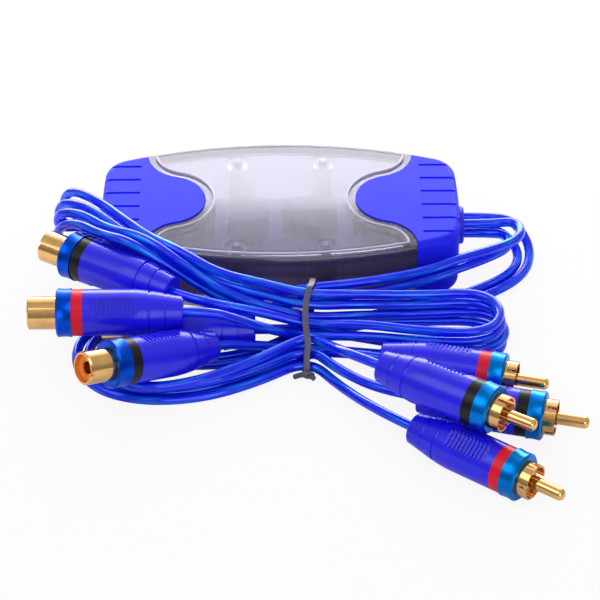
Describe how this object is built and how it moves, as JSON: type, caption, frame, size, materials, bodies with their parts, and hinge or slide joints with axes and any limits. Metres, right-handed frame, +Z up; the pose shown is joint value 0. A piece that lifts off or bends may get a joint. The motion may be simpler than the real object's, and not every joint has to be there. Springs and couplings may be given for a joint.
{
  "type": "ground loop isolator",
  "caption": "Lens-shaped audio ground loop isolator box with end caps, round leads folded in a tie, and phono sockets and plugs on their ends.",
  "frame": {"origin": "centre of the box's underside", "axes": "+X along the box towards the plug leads, +Y to the back, +Z up"},
  "size_m": [0.1444, 0.1372, 0.0248],
  "materials": {
    "smoke_plastic": "clear smoke tint, polished",
    "frosted_plastic": "frosted translucent",
    "cap_rubber": "soft touch, satin",
    "grommet_rubber": "satin",
    "board": "solder mask",
    "screw_steel": "zinc plated",
    "hookup_wire": "satin",
    "core_steel": "varnished laminations",
    "coil_tape": "winding tape",
    "lead_jacket": "glossy translucent jacket",
    "boot_pvc": "translucent moulded, satin",
    "blue_anodised": "anodised, polished",
    "gold_plate": "gold plated, polished",
    "orange_insulator": "satin",
    "white_insulator": "satin",
    "red_band": "printed ring",
    "black_band": "printed ring",
    "tie_plastic": "satin"
  },
  "bodies": {
    "root": {"lower_shell": "smoke_plastic", "upper_shell": "frosted_plastic", "input_end_cap": "cap_rubber", "output_end_cap": "cap_rubber", "input_grommet": "grommet_rubber", "output_grommet": "grommet_rubber", "circuit_board": "board", "housing_screws": "screw_steel", "hookup_wires": "hookup_wire", "transformer_core_1": "core_steel", "transformer_coil_1": "coil_tape", "transformer_core_2": "core_steel", "transformer_coil_2": "coil_tape", "transformer_core_3": "core_steel", "transformer_coil_3": "coil_tape", "transformer_core_4": "core_steel", "transformer_coil_4": "coil_tape", "input_lead_1": "lead_jacket", "input_lead_2": "lead_jacket", "input_lead_3": "lead_jacket", "input_lead_4": "lead_jacket", "output_lead_1": "lead_jacket", "output_lead_2": "lead_jacket", "output_lead_3": "lead_jacket", "output_lead_4": "lead_jacket", "jack_1_boot": "boot_pvc", "jack_1_collar": "blue_anodised", "jack_1_shell": "gold_plate", "jack_2_boot": "boot_pvc", "jack_2_collar": "blue_anodised", "jack_2_shell": "gold_plate", "jack_3_boot": "boot_pvc", "jack_3_collar": "blue_anodised", "jack_3_shell": "gold_plate", "jack_4_boot": "boot_pvc", "jack_4_collar": "blue_anodised", "jack_4_shell": "gold_plate", "plug_1_boot": "boot_pvc", "plug_1_collar": "blue_anodised", "plug_1_shell": "gold_plate", "plug_2_boot": "boot_pvc", "plug_2_collar": "blue_anodised", "plug_2_shell": "gold_plate", "plug_3_boot": "boot_pvc", "plug_3_collar": "blue_anodised", "plug_3_shell": "gold_plate", "plug_4_boot": "boot_pvc", "plug_4_collar": "blue_anodised", "plug_4_shell": "gold_plate", "plug_1_pin": "gold_plate", "plug_2_pin": "gold_plate", "plug_3_pin": "gold_plate", "plug_4_pin": "gold_plate", "jack_insulators": "orange_insulator", "plug_insulators": "white_insulator", "jack_contacts": "gold_plate", "red_bands": "red_band", "black_bands": "black_band", "cable_tie": "tie_plastic"}
  },
  "joints": []
}
